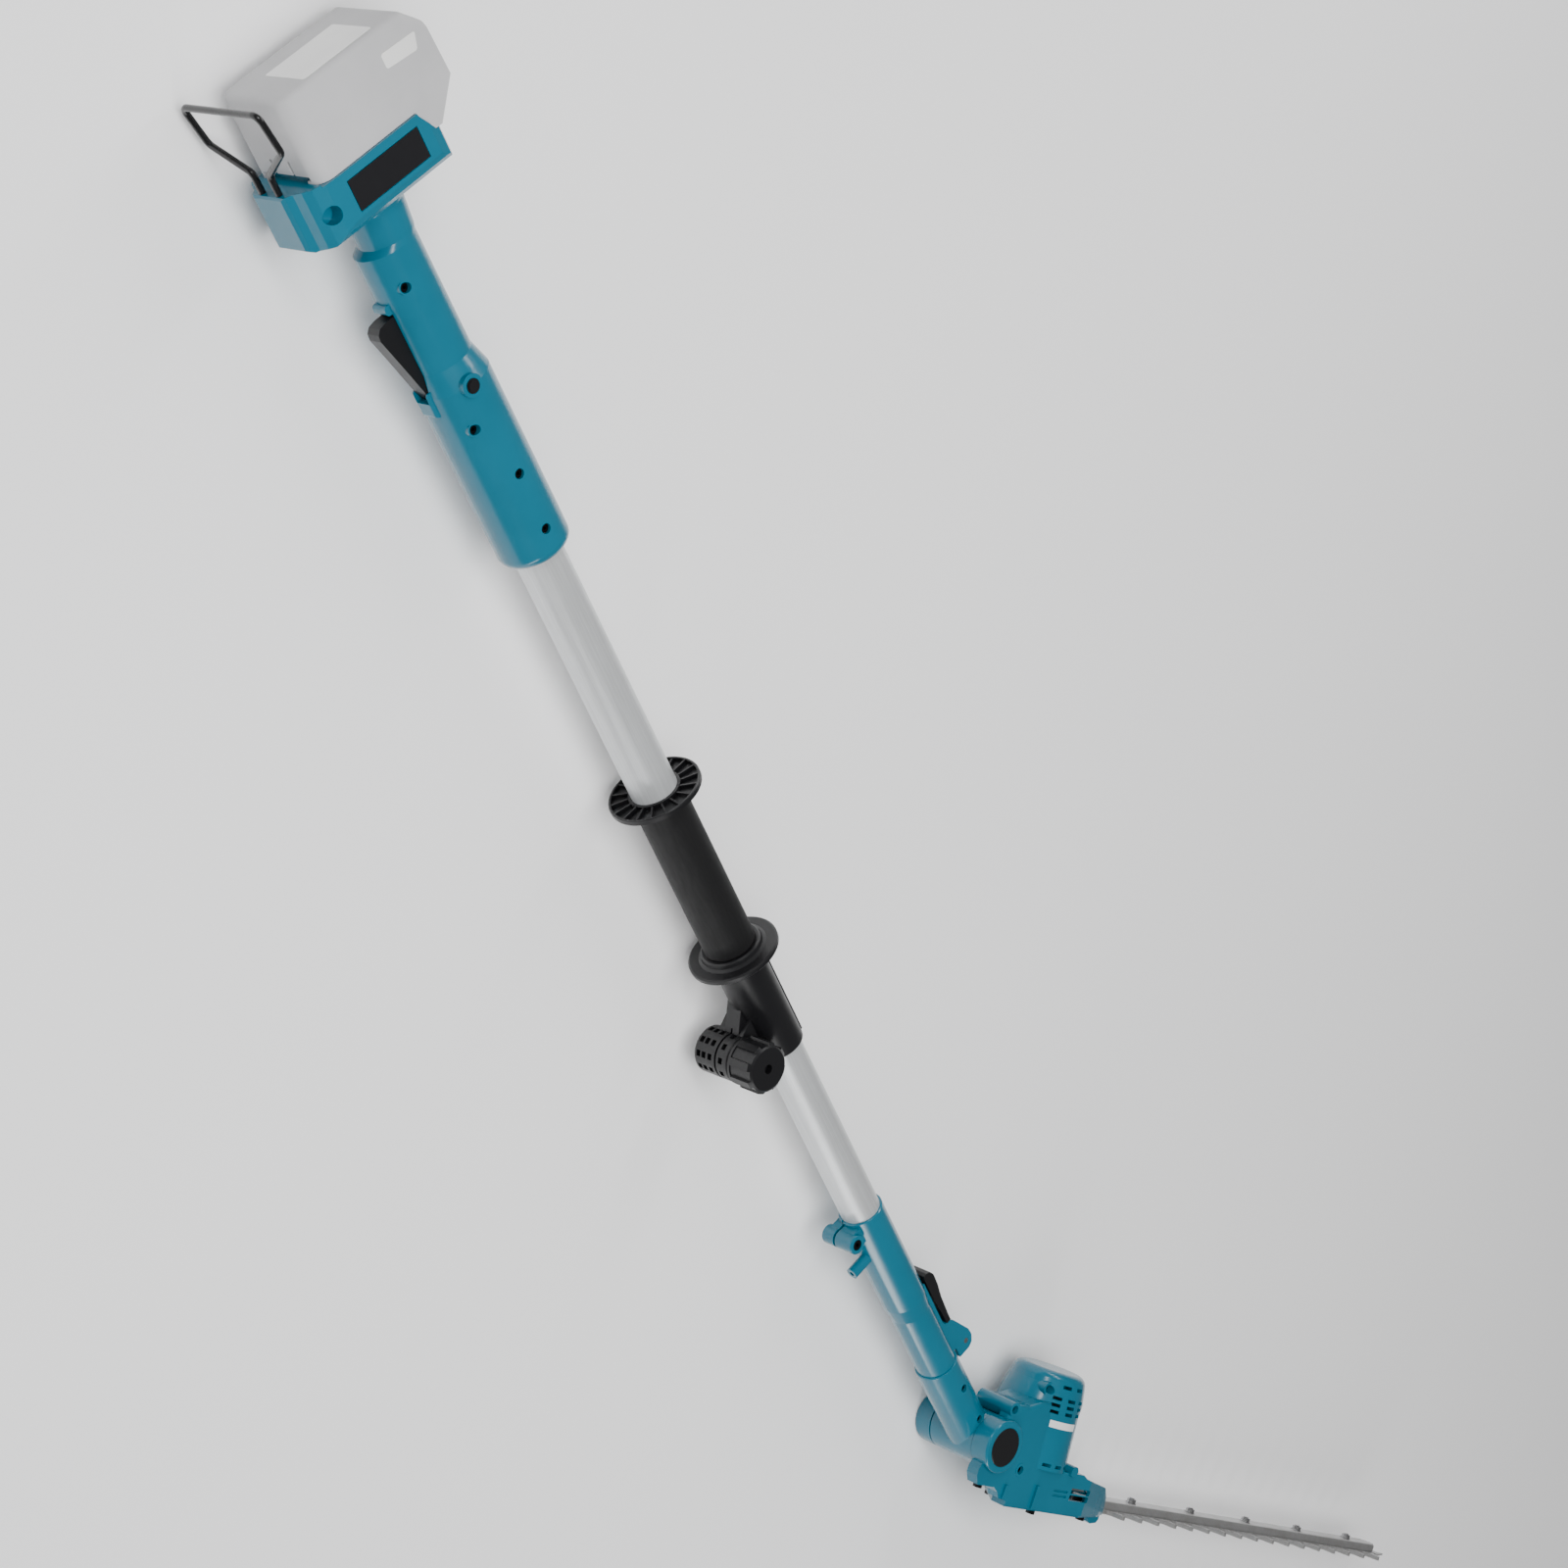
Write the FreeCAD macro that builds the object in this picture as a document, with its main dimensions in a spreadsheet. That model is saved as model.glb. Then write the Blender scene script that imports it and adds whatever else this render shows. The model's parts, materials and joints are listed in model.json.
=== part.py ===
import FreeCAD, Part
import math
import os
import Sketcher
from types import SimpleNamespace

# Battery pole hedge trimmer, modelled lying on its side.
# X runs along the pole towards the blade, Y away from the trigger, Z towards the button side.
# Work happens about the pole axis, with x = 0 at the grip flange; place_nodes() then moves every
# piece so that the whole stands centred on the origin with its lowest point at z = 0.

Vector = FreeCAD.Vector
doc = FreeCAD.newDocument("PoleHedgeTrimmer")
sheet = doc.addObject("Spreadsheet::Sheet", "dims")

DIMENSIONS = {
    # pole
    "outer_radius": 19.0, "outer_bore": 17.8, "outer_start": -340, "outer_end": 238,
    "inner_radius": 17.5, "inner_bore": 16.2, "inner_start": -150, "inner_end": 560,
    "fit": 0.03,
    # handle
    "grip_half_width": 24.2, "grip_half_depth": 22.0, "grip_drop": -1.2, "shell_wall": 2.6,
    "fore_radius": 28.4, "fore_start": -386, "fore_end": -232,
    "foot_front": -534, "foot_back": -576, "foot_half_width": 39, "foot_low": -67, "foot_high": 61,
    "rim_back": -577.5, "rail_depth": 6, "rail_half_width": 22, "rail_lip": 4, "rail_low": -41,
    "rail_high": 38,
    # battery
    "pack_end": -640, "pack_low": -46, "pack_high": 82, "pack_half_width": 36.5,
    "pack_round": 5, "pack_wall": 2.5, "cell_radius": 9.1,
    # front grip and clamp
    "flange_radius": 38, "flange_thickness": 5.2, "cover_radius": 21.7, "lower_flange": 169.6,
    "sleeve_radius": 21.3, "sleeve_end": 276, "clamp_along": 253, "clamp_drop": -41.5,
    "clamp_boss_radius": 19.6, "clamp_bolt_radius": 3, "knob_radius": 19.2, "knob_start": 11,
    "knob_length": 27,
    # pipe holder
    "holder_start": 474, "holder_radius": 19.6, "holder_neck_radius": 18.1, "holder_end": 673,
    "lug_along": 486, "lug_drop": -27, "lug_radius": 8.5, "ear_along": 676, "ear_rise": 33,
    # arm and pivot
    "arm_radius": 19.8, "spigot_radius": 16.0, "pivot_along": 773, "pivot_rise": 2.5,
    "knuckle_radius": 24, "knuckle_low": -30, "knuckle_high": 20, "shaft_radius": 8,
    # head, in its own frame with the pivot at the origin and the blade along +X
    "tilt": 35.3, "ear_radius": 24.4, "near_face": 33, "far_face": -31, "motor_along": 85,
    "dome_radius": 39, "room_radius": 27, "dome_top": 72, "case_top": -14, "case_floor": -51.9,
    "case_end": 208, "cover_floor": -53.9, "gear_along": 118, "gear_radius": 28,
    "pinion_radius": 5, "eccentric_offset": 7.1, "eccentric_radius": 9,
    # blades
    "blade_top": -47.1, "blade_thickness": 2.0, "blade_gap": 0.1, "tooth_first": 216,
    "tooth_pitch": 28.5, "tooth_count": 17, "tooth_root": 13, "tooth_tip": 27,
    "bar_half_width": 10, "bar_top": -39.5,
}


class Size:
    """A length that carries its value and its formula over the sheet."""

    def __init__(self, value, formula):
        self.value = value
        self.formula = formula

    def __add__(self, other):
        return Size(self.value + number(other), f"({self.formula} + {text(other)})")

    def __radd__(self, other):
        return Size(number(other) + self.value, f"({text(other)} + {self.formula})")

    def __sub__(self, other):
        return Size(self.value - number(other), f"({self.formula} - {text(other)})")

    def __rsub__(self, other):
        return Size(number(other) - self.value, f"({text(other)} - {self.formula})")

    def __mul__(self, other):
        return Size(self.value * number(other), f"({self.formula} * {text(other)})")

    def __rmul__(self, other):
        return Size(number(other) * self.value, f"({text(other)} * {self.formula})")

    def __truediv__(self, other):
        return Size(self.value / number(other), f"({self.formula} / {text(other)})")

    def __neg__(self):
        return Size(-self.value, f"(0 - {self.formula})")


def number(size):
    return size.value if isinstance(size, Size) else size


def text(size):
    return size.formula if isinstance(size, Size) else f"{float(size):.6f}"


def fill_sheet():
    for row, (alias, value) in enumerate(DIMENSIONS.items(), start=1):
        sheet.set(f"A{row}", alias)
        sheet.set(f"B{row}", str(value))
        sheet.setAlias(f"B{row}", alias)
    doc.recompute()
    return SimpleNamespace(**{name: Size(value, f"dims.{name}") for name, value in DIMENSIONS.items()})


d = fill_sheet()
NODES = []
TURN = {
    "X": FreeCAD.Rotation(Vector(0, 1, 0), 90),
    "Y": FreeCAD.Rotation(Vector(1, 0, 0), -90),
    "Z": FreeCAD.Rotation(),
}
DIRECTION = {"X": Vector(1, 0, 0), "Y": Vector(0, 1, 0), "Z": Vector(0, 0, 1)}


# ---- building helpers -------------------------------------------------------------------

def bind(obj, **sizes):
    for prop, size in sizes.items():
        if isinstance(size, Size):
            obj.setExpression(prop, size.formula)
        else:
            setattr(obj, prop, size)
    return obj


def put(obj, at, rotation=TURN["Z"]):
    obj.Placement = FreeCAD.Placement(Vector(*[number(v) for v in at]), rotation)
    for name, size in zip("xyz", at):
        if isinstance(size, Size):
            obj.setExpression(f"Placement.Base.{name}", size.formula)
    return obj


def cylinder(radius, length, at, axis="X"):
    """A cylinder that starts at the point and runs along +axis."""
    solid = doc.addObject("Part::Cylinder", "cylinder")
    return put(bind(solid, Radius=radius, Height=length), at, TURN[axis])


def cone(radius_1, radius_2, length, at, axis="X"):
    solid = doc.addObject("Part::Cone", "cone")
    return put(bind(solid, Radius1=radius_1, Radius2=radius_2, Height=length), at, TURN[axis])


def block(low, high):
    """A box between two opposite corners."""
    solid = doc.addObject("Part::Box", "block")
    sides = [b - a for a, b in zip(low, high)]
    return put(bind(solid, Length=sides[0], Width=sides[1], Height=sides[2]), low)


def fuse(*parts):
    joined = doc.addObject("Part::MultiFuse", "joined")
    joined.Shapes = list(parts)
    joined.Refine = True
    return joined


def cut(base, *tools):
    result = doc.addObject("Part::Cut", "trimmed")
    result.Base = base
    result.Tool = tools[0] if len(tools) == 1 else fuse(*tools)
    result.Refine = True
    return result


def common(first, second):
    result = doc.addObject("Part::Common", "overlap")
    result.Base = first
    result.Tool = second
    result.Refine = True
    return result


def group(*parts):
    compound = doc.addObject("Part::Compound", "group")
    compound.Links = list(parts)
    return compound


def tube(radius, bore, length, at, axis="X"):
    return cut(cylinder(radius, length, at, axis), cylinder(bore, length, at, axis))


def outline(body, role, points, offset):
    """A closed polygon sketch on one of the body's own origin planes."""
    sketch = body.newObject("Sketcher::SketchObject", "outline")
    plane = next(f for f in body.Origin.OriginFeatures if f.Role == role)
    sketch.AttachmentSupport = (plane, [""])
    sketch.MapMode = "FlatFace"
    sketch.AttachmentOffset = FreeCAD.Placement(Vector(0, 0, number(offset)), FreeCAD.Rotation())
    if isinstance(offset, Size):
        sketch.setExpression("AttachmentOffset.Base.z", offset.formula)
    corners = [Vector(number(a), number(b), 0) for a, b in points]
    count = len(corners)
    for i in range(count):
        sketch.addGeometry(Part.LineSegment(corners[i], corners[(i + 1) % count]), False)
    sketch.addConstraint([Sketcher.Constraint("Coincident", i, 2, (i + 1) % count, 1)
                          for i in range(count)])
    for i, point in enumerate(points):
        for kind, size in zip(("DistanceX", "DistanceY"), point):
            index = sketch.addConstraint(Sketcher.Constraint(kind, -1, 1, i, 1, number(size)))
            if isinstance(size, Size):
                sketch.setExpression(f"Constraints[{index}]", size.formula)
    return sketch


def padded(body, role, points, start, length):
    pad = body.newObject("PartDesign::Pad", "pad")
    pad.Profile = outline(body, role, points, start)
    bind(pad, Length=length)
    body.Tip = pad
    return pad


def prism(points, start, end, axis="Z"):
    """A polygon pulled along Z (points are x, y) or along X (points are y, z)."""
    body = doc.addObject("PartDesign::Body", "prism")
    padded(body, {"Z": "XY_Plane", "X": "YZ_Plane"}[axis], points, start, end - start)
    return body


def turned(points):
    """A profile of (x, radius) points turned about the X axis."""
    body = doc.addObject("PartDesign::Body", "turned")
    spin = body.newObject("PartDesign::Revolution", "spin")
    spin.Profile = outline(body, "XY_Plane", points, 0)
    spin.ReferenceAxis = (next(f for f in body.Origin.OriginFeatures if f.Role == "X_Axis"), [""])
    spin.Angle = 360
    body.Tip = spin
    return body


def moved(obj, at, rotation=TURN["Z"]):
    """The object seen from another place, as a copy that follows the original."""
    copy = doc.addObject("Part::Refine", "moved")
    copy.Source = obj
    return put(copy, at, rotation)


def rounded(obj, radius, chosen):
    """Rounds each edge that the test chooses."""
    doc.recompute()
    smooth = doc.addObject("Part::Fillet", "rounded")
    smooth.Base = obj
    edges = [i for i, edge in enumerate(obj.Shape.Edges, start=1) if chosen(edge)]
    smooth.Edges = [(i, number(radius), number(radius)) for i in edges]
    return smooth


def straight(edge, axis):
    if edge.Curve.TypeId != "Part::GeomLine":
        return False
    return abs(edge.tangentAt(edge.FirstParameter).dot(DIRECTION[axis])) > 0.9999


def flat_at(edge, axis, place):
    """True for an edge that lies wholly in the plane at this place along the axis."""
    box = edge.BoundBox
    low = {"X": box.XMin, "Y": box.YMin, "Z": box.ZMin}[axis]
    high = {"X": box.XMax, "Y": box.YMax, "Z": box.ZMax}[axis]
    return abs(low - number(place)) < 0.01 and abs(high - number(place)) < 0.01


def node(obj, label, on_head=False):
    if obj.TypeId in ("Part::Cylinder", "Part::Box", "Part::Cone", "Part::Refine"):
        obj = moved(obj, (0, 0, 0))
    obj.Label = label
    NODES.append((obj, on_head))
    return obj


def halves(casing, hollows, bosses, wells, near_label, far_label, on_head=False):
    """Splits a casing at z = 0, then hollows out, posts and drills its near and far shells."""
    reach = 1000
    room = fuse(*hollows)
    drill = fuse(*wells)
    for label, low, high in ((near_label, 0, reach), (far_label, -reach, 0)):
        side = block((-reach, -reach, low), (reach, reach, high))
        shell = cut(common(casing, side), room)
        posts = [common(boss, side) for boss in bosses]
        solid = fuse(shell, *posts) if posts else shell
        node(cut(solid, drill), label, on_head)


def oval(along, half_width, half_depth, rise):
    ring = doc.addObject("Part::Ellipse", "oval")
    bind(ring, MajorRadius=half_width, MinorRadius=half_depth)
    return put(ring, (along, rise, 0), FreeCAD.Rotation(Vector(1, 1, 1), 120))


def loft(sections):
    skin = doc.addObject("Part::Loft", "loft")
    skin.Sections = [oval(*section) for section in sections]
    skin.Solid = True
    skin.Ruled = True
    return skin


def screw(at, shank, head, shank_length, head_length, socket, axis="Z", facing=1):
    """A socket-headed screw whose head faces +axis or -axis; the point is under its head."""
    axis_index = "XYZ".index(axis)

    def shifted(amount):
        place = list(at)
        place[axis_index] = place[axis_index] + amount
        return tuple(place)

    shank_start = -shank_length if facing > 0 else 0
    head_start = 0 if facing > 0 else -head_length
    socket_start = head_length * 0.4 if facing > 0 else -head_length
    solid = fuse(cylinder(shank, shank_length, shifted(shank_start), axis),
                 cylinder(head, head_length, shifted(head_start), axis))
    return cut(solid, cylinder(socket, head_length * 0.6, shifted(socket_start), axis))


# ---- handle and battery foot ------------------------------------------------------------

def handle_casing():
    step = (d.fore_radius - d.grip_half_width) / 2
    skin = loft([
        (d.foot_front - 1, 26, 25.5, 6),
        (d.foot_front + 8, 22.2, 22.1, 4.2),
        (d.foot_front + 31, 21.4, 21.3, 2.6),
        (d.foot_front + 35, d.grip_half_width, d.grip_half_depth, d.grip_drop),
        (d.fore_start - 18, d.grip_half_width, d.grip_half_depth + 0.5, d.grip_drop),
        (d.fore_start - 9, d.grip_half_width + step, d.grip_half_depth + 3.6, d.grip_drop / 2),
        (d.fore_start, d.fore_radius, d.fore_radius, 0),
    ])
    fore = cylinder(d.fore_radius, d.fore_end - d.fore_start, (d.fore_start, 0, 0))
    fore = rounded(fore, 9, lambda edge: flat_at(edge, "X", d.fore_end))
    side = prism([
        (d.rim_back, d.foot_low + 1.5), (d.rim_back + 1.5, d.foot_low),
        (d.foot_front - 3, d.foot_low), (d.foot_front, d.foot_low + 4),
        (d.foot_front, d.foot_high),
        (-558, d.foot_high), (-558, 53), (-574, 43), (d.foot_back, 42.6),
        (d.foot_back, d.pack_low - 0.6), (d.rim_back, d.pack_low - 0.6),
    ], -d.foot_half_width, d.foot_half_width)
    plan = prism([
        (d.foot_low, -15), (d.foot_low, 15), (-65, 18.2), (-60.5, 21.5), (-57.5, 28), (-53, 34),
        (-44, 37.8), (-32, d.foot_half_width), (48, d.foot_half_width), (56, 36),
        (d.foot_high, 29), (d.foot_high, -29), (56, -36), (48, -d.foot_half_width),
        (-32, -d.foot_half_width), (-44, -37.8), (-53, -34), (-57.5, -28), (-60.5, -21.5),
        (-65, -18.2),
    ], d.rim_back - 1, d.foot_front + 1, "X")
    width = d.foot_half_width + 1
    taper = prism([(d.rim_back - 2, -width), (-545, -width), (-538, -37), (d.foot_front, -33),
                   (d.foot_front, 33), (-538, 37), (-545, width), (d.rim_back - 2, width)],
                  -d.foot_high - 1, -d.foot_low + 1)
    foot = common(common(side, plan), moved(taper, (0, 0, 0), FreeCAD.Rotation(Vector(1, 0, 0), 90)))
    rail = block((d.foot_back - d.rail_depth, d.rail_low, -d.rail_half_width),
                 (d.foot_back + 1, d.rail_high, d.rail_half_width))
    lip = block((d.foot_back - d.rail_depth, d.rail_low, -d.rail_half_width - d.rail_lip),
                (d.foot_back - d.rail_depth + 3, d.rail_high, d.rail_half_width + d.rail_lip))
    guard = rounded(block((-464, -28.6, -7), (-456.5, -18, 7)), 2.5,
                    lambda edge: straight(edge, "Z") and edge.BoundBox.YMax < -20)
    toe = rounded(block((-392, -30.4, -8.6), (-372, -20, 8.6)), 2.5,
                  lambda edge: straight(edge, "Z") or flat_at(edge, "Y", -30.4))
    collar = cylinder(8.8, 29.4 - 10, (-386, -5, 10), "Z")
    return fuse(skin, fore, foot, rail, lip, guard, toe, collar)


def handle_hollows():
    wall = d.shell_wall
    grip = loft([
        (d.foot_front - 5, 19.6, 19.4, 4.2),
        (d.foot_front + 8, 22.2 - wall, 22.1 - wall, 4.2),
        (d.foot_front + 31, 21.4 - wall, 21.3 - wall, 2.6),
        (d.foot_front + 37, d.grip_half_width - wall, d.grip_half_depth - wall, d.grip_drop),
        (d.fore_start - 18, d.grip_half_width - wall, d.grip_half_depth + 0.5 - wall, d.grip_drop),
        (d.fore_start + 2, d.fore_radius - wall - 0.4, d.fore_radius - wall - 0.4, 0),
    ])
    pocket_radius = d.fore_radius - wall
    seat_length = 10
    first = cylinder(pocket_radius, 86, (d.fore_start, 0, 0))
    second = cylinder(pocket_radius, 48, (d.fore_start + 86 + seat_length, 0, 0))
    pipe_bore = cylinder(d.outer_radius + d.fit, 113, (d.fore_end - 112, 0, 0))
    foot_room = block((-571.6, -30, -34), (d.foot_front - 3, 47, 34))
    trigger_slot = block((-456, -60, -7), (-384, -12, 7))
    button_hole = cylinder(5.55, 60, (-386, -5, -8), "Z")
    blade_slots = [block((-600, -12, z), (-570, 12, z + 2.4)) for z in (-11.2, 8.8)]
    leg_holes = [cylinder(2.55, 40, (-596, -62.5, z)) for z in (-9.5, 9.5)]
    recess = cylinder(6.6, 14, (-555, -48, 26), "Z")
    plate_bed = block((-569.6, -29, d.foot_half_width - 0.8), (-545.6, 38.6, d.foot_half_width + 1))
    end_recess = cylinder(4.2, 5, (-548, d.foot_high - 4, 20), "Y")
    return [grip, first, second, pipe_bore, foot_room, trigger_slot, button_hole, recess,
            plate_bed, end_recess] + blade_slots + leg_holes


SHELL_SCREWS = ((-472, -13, 19.4), (-355, -16, 23.4), (-307, -1.5, 28.3), (-258, -1.6, 28.3))


def screw_wells():
    wells = []
    for x, y, surface in SHELL_SCREWS:
        wells.append(cylinder(3.9, 8, (x, y, surface - 4.4), "Z"))
        wells.append(cylinder(1.6, 8, (x, y, surface - 9), "Z"))
    return wells


def handle_screws():
    pieces = []
    for x, y, surface in SHELL_SCREWS:
        head_seat = surface - 4.4
        depth = min(8, head_seat - d.outer_radius.value - 0.3) if abs(y) < 10 else 4.4
        pieces.append(screw((x, y, head_seat), 1.58, 3.2, depth, 2.4, 1.3, "Z"))
    return node(group(*pieces), "handle_screws")


def handle():
    bosses = [cylinder(5.2, surface + 17, (x, y, -17.6), "Z") for x, y, surface in SHELL_SCREWS[:2]]
    halves(handle_casing(), handle_hollows(), bosses, screw_wells(),
           "handle_shell_near", "handle_shell_far")
    handle_screws()
    plate = block((-569, -28.4, d.foot_half_width - 0.8), (-546.2, 38, d.foot_half_width + 0.2))
    node(plate, "rating_plate")
    node(block((-571.6, -16, -18), (-556, 26, 18)), "terminal_block")
    blades = [block((-591, -10, z), (-571.6, 10, z + 1.2)) for z in (-10.6, 9.4)]
    node(group(*blades), "terminal_blades")
    switch_body = fuse(block((-452, -6, -9), (-418, 14, 9)), block((-444, -9, -3), (-438, -6, 3)))
    node(switch_body, "main_switch")


def trigger():
    profile = [(-384.6, -25.5), (-392, -28.4), (-420, -35.4), (-445, -42), (-450, -41.4),
               (-453.4, -38), (-454.4, -32), (-454.4, -22), (-448, -20.5), (-400, -19),
               (-388, -15.4), (-384.6, -18)]
    lever = prism(profile, -6.4, 6.4)
    lever = rounded(lever, 1.6, lambda edge: straight(edge, "Z") and edge.BoundBox.YMax < -31)
    lever = cut(lever, cylinder(1.55, 20, (-389, -21, -10), "Z"))
    node(lever, "trigger")
    node(cylinder(1.5, 14.4, (-389, -21, -7.2), "Z"), "trigger_pin")
    node(tube(3, 2.2, 8.6, (-425, -18.4, 0), "Y"), "trigger_spring")
    button = fuse(cylinder(5.5, 34.2, (-386, -5, -4), "Z"), cylinder(4.4, 0.8, (-386, -5, 30.2), "Z"))
    node(button, "lock_off_button")
    node(tube(3.2, 2.4, 12, (-386, -5, -16.2), "Z"), "lock_off_spring")


def bent_wire(corners, bend, radius):
    """A round wire of straight runs joined by tangent arcs."""
    corners = [Vector(*corner) for corner in corners]
    edges = []
    start = corners[0]
    for before, corner, after in zip(corners, corners[1:], corners[2:]):
        inward = (before - corner).normalize()
        outward = (after - corner).normalize()
        half_angle = inward.getAngle(outward) / 2
        trim = bend / math.tan(half_angle)
        entry = corner + inward * trim
        leave = corner + outward * trim
        middle_line = (inward + outward).normalize()
        centre = corner + middle_line * (bend / math.sin(half_angle))
        middle = centre - middle_line * bend
        edges.append(Part.makeLine(start, entry))
        edges.append(Part.Arc(entry, middle, leave).toShape())
        start = leave
    edges.append(Part.makeLine(start, corners[-1]))
    path = Part.Wire(edges)
    ring = Part.Wire(Part.makeCircle(radius, corners[0], corners[1] - corners[0]))
    return path.makePipeShell([ring], True, False)


def hanging_hook():
    side = [(-560, -62.5, 9.5), (-593, -62.5, 9.5), (-614, -64.5, 41), (-645, -69, 42.5)]
    other = [(x, y, -z) for x, y, z in reversed(side)]
    hook = doc.addObject("Part::Feature", "hook")
    hook.Shape = bent_wire(side + other, 5.5, 2.5)
    node(hook, "hanging_hook")


def battery():
    side = prism([
        (-576.2, d.pack_low), (d.pack_end, d.pack_low), (d.pack_end, 66), (-625, 80), (-583, d.pack_high),
        (-558.2, 59.4), (-558.2, 53.4), (-574.2, 43.2), (-576.2, 42.8),
    ], -d.pack_half_width, d.pack_half_width)
    case = rounded(side, 12, lambda edge: straight(edge, "X") and flat_at(edge, "Y", d.pack_low))
    case = rounded(case, d.pack_round, lambda edge: edge.BoundBox.XMax < -606.9)
    gap = 0.2
    back = d.foot_back - d.rail_depth - gap
    half = d.rail_half_width + gap
    lip = half + d.rail_lip
    groove = [
        block((back, -60, -half), (-560, d.rail_high + 4, half)),
        block((back, -60, -lip), (back + 3 + gap * 2, d.rail_high + 4, lip)),
    ]
    blade_slots = [block((-593, -60, z), (-581, 14, z + 2.8)) for z in (-11.4, 8.6)]
    room = block((d.pack_end + d.pack_wall, -37, -26.5), (-597, 63, 26.5))
    side_room = block((-617, -38, -32), (-597, 63, 32))
    button_well = block((-588.4, 58, -12.2), (-556, 79, 12.2))
    hollow = cut(case, *groove, *blade_slots, room, side_room, button_well)
    split = -597
    near_tool = common(hollow, block((split, -100, -60), (-540, 120, 60)))
    away = common(hollow, block((-700, -100, -60), (split, 120, 60)))
    node(near_tool, "battery_cover")
    node(away, "battery_case")
    cells = [cylinder(d.cell_radius, 50, (-627.5, -27 + 18.6 * i, -25), "Z") for i in range(5)]
    node(group(*cells), "battery_cells")
    button = prism([(-583.6, 59), (-562.4, 59), (-562.4, 66), (-574, 78), (-583.6, 78)], -11.6, 11.6)
    node(button, "battery_button")


# ---- pole, front grip and clamp ---------------------------------------------------------

def pipes():
    outer_length = d.outer_end - d.outer_start
    inner_length = d.inner_end - d.inner_start
    node(tube(d.outer_radius, d.outer_bore, outer_length, (d.outer_start, 0, 0)), "outer_pipe")
    node(tube(d.inner_radius, d.inner_bore, inner_length, (d.inner_start, 0, 0)), "inner_pipe")
    bush = tube(d.outer_radius + d.fit, d.inner_radius + d.fit, 12, (d.outer_end, 0, 0))
    node(bush, "slide_bush")
    plug = fuse(tube(d.outer_bore - 0.06, 9, 6, (d.inner_start - 6, 0, 0)),
                tube(d.inner_bore - d.fit, 9, 16, (d.inner_start - 3, 0, 0)))
    node(plug, "pipe_end_bush")
    node(cylinder(6, 420, (-100, -10, 0)), "coiled_lead")


def front_grip():
    t = d.flange_thickness
    rim = turned([(0, d.outer_radius + d.fit), (t + 6, d.outer_radius + d.fit), (t + 6, 20), (t, 21),
                  (t, 36.5), (t - 1, d.flange_radius), (0.6, d.flange_radius),
                  (0, d.flange_radius - 0.6)])
    recess = tube(d.flange_radius - 2, 21.6, 6, (-2.6, 0, 0))
    rib = block((0.5, 21, -0.7), (t - 1.5, d.flange_radius - 1, 0.7))
    ribs = [moved(rib, (0, 0, 0), FreeCAD.Rotation(Vector(1, 0, 0), angle))
            for angle in range(0, 360, 20)]
    node(fuse(cut(rim, recess), *ribs), "grip_flange")
    radius = d.cover_radius
    end = d.lower_flange - 5.6
    cover = turned([(t, 21.1), (t + 6.1, 20.1), (t + 6.1, d.outer_radius + d.fit),
                    (end, d.outer_radius + d.fit), (end, radius - 1), (end - 1, radius),
                    (t + 2, radius), (t, radius + 0.9)])
    node(cover, "grip_cover")


def clamp_sleeve():
    start = d.lower_flange
    body = turned([
        (start - 5.6, d.outer_radius + d.fit), (start - 5.6, 24), (start - 4.4, 25.6),
        (start - 1.6, 26.4), (start, 29), (start, 36.5), (start + 1, d.flange_radius),
        (start + 4, d.flange_radius), (start + 5.4, 36.5), (start + 5.4, 27),
        (start + 9, d.sleeve_radius), (d.sleeve_end - 1.5, d.sleeve_radius),
        (d.sleeve_end, d.sleeve_radius - 1.5), (d.sleeve_end, d.inner_radius + 0.06),
        (d.outer_end + 12, d.inner_radius + 0.06), (d.outer_end + 12, d.outer_radius + d.fit),
    ])
    boss_low = -29
    boss = cylinder(d.clamp_boss_radius, 39, (d.clamp_along, d.clamp_drop, boss_low), "Z")
    boss = rounded(boss, 2, lambda edge: flat_at(edge, "Z", boss_low) or flat_at(edge, "Z", 10))
    web = prism([(228, -17), (235, -32), (240, -45), (262, -45), (274, -32), (275.9, -17)],
                -19, 8.5)
    strap = prism([(214, -17.5), (242, -38), (256, -38), (274, -17.5)], -12, 4)
    spine = rounded(block((178, 12, -8), (d.sleeve_end, 22.2, 8)), 1.8,
                    lambda edge: straight(edge, "X") and edge.BoundBox.YMax > 20)
    inside = [
        cylinder(d.outer_radius + d.fit, 100, (d.outer_end - 88, 0, 0)),
        cylinder(d.inner_radius + 0.06, 60, (d.outer_end + 5, 0, 0)),
        block((232, -70, -5), (300, -10, -3)),
        cylinder(d.clamp_bolt_radius + 0.1, 60, (d.clamp_along, d.clamp_drop, -35), "Z"),
        cylinder(6.2, 6, (d.clamp_along, d.clamp_drop, boss_low), "Z"),
    ]
    window = block((-2.6, d.clamp_boss_radius - 3.4, -2.2), (2.6, d.clamp_boss_radius + 3, 2.2))
    for angle in (75, 110, 145, 180):
        for z in (-23.5, -17.5, -10.5, 2):
            turn = FreeCAD.Rotation(Vector(0, 0, 1), angle)
            inside.append(moved(window, (d.clamp_along, d.clamp_drop, z), turn))
    node(cut(fuse(body, boss, web, strap, spine), *inside), "clamp_sleeve")


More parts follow.
